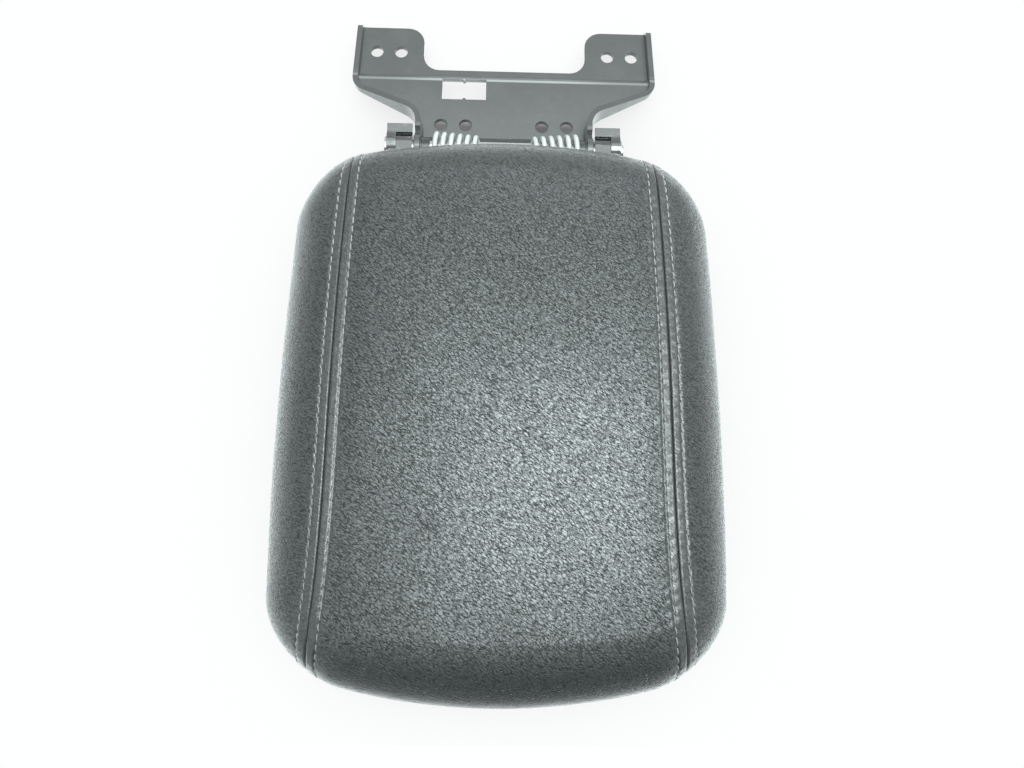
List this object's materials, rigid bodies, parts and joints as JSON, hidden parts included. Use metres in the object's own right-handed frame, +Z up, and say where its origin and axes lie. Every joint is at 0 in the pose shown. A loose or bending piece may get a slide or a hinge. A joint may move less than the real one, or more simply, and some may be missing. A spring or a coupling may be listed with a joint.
{
  "type": "car armrest",
  "caption": "Padded, stitched lid of a car's centre console with a sprung pin hinge, a pressed steel mounting bracket and a finger latch under its front edge.",
  "frame": {"origin": "centre of the object's box in X and Y, on the surface that the lid lies on", "axes": "+X to the right, +Y from the lid to the bracket along the object's length, +Z up out of the padded face"},
  "size_m": [0.1972, 0.3328, 0.055],
  "materials": {
    "bracket_paint": "semi-gloss dark grey paint on pressed steel",
    "bush_plastic": "smooth dark plastic",
    "pin_steel": "turned steel",
    "knuckle_plastic": "glossy black moulding",
    "screw_steel": "zinc plated",
    "spring_coating": "white coating on spring wire",
    "base_plastic": "fine-textured black moulding",
    "foam": "soft moulded foam",
    "cover_leather": "black pebble-grained artificial leather",
    "bumper_rubber": "matte rubber"
  },
  "bodies": {
    "bracket": {"hinge_bracket": "bracket_paint", "ear_bush_left": "bush_plastic", "ear_bush_right": "bush_plastic"},
    "lid": {"hinge_pin": "pin_steel", "pin_clip": "pin_steel", "hinge_knuckle_left": "knuckle_plastic", "hinge_knuckle_right": "knuckle_plastic", "knuckle_screws": "screw_steel", "torsion_spring_left": "spring_coating", "torsion_spring_right": "spring_coating", "lid_base": "base_plastic", "foam_pad": "foam", "cover_centre_panel": "cover_leather", "cover_left_panel": "cover_leather", "cover_right_panel": "cover_leather", "inner_panel": "base_plastic", "panel_screws": "screw_steel", "bumper_front_left": "bumper_rubber", "bumper_front_right": "bumper_rubber", "bumper_rear_left": "bumper_rubber", "bumper_rear_right": "bumper_rubber", "latch_housing": "base_plastic", "latch_pin": "screw_steel", "latch_spring": "screw_steel"},
    "latch": {"latch_lever": "base_plastic"}
  },
  "joints": [
    {"name": "lid_hinge", "type": "hinge", "parent": "bracket", "child": "lid", "pos_m": [0, 0.09195, 0.02], "axis": [1, 0, 0], "range_deg": [0, 90], "stiffness_Nm_per_rad": 0.35, "springref_deg": -57.3, "deforming": ["torsion_spring_left", "torsion_spring_right"]},
    {"name": "latch_press", "type": "hinge", "parent": "lid", "child": "latch", "pos_m": [0, -0.14055, 0.0077], "axis": [-1, 0, 0], "range_deg": [0, 14], "stiffness_Nm_per_rad": 0.04, "springref_deg": -17.19, "deforming": ["latch_spring"]}
  ]
}
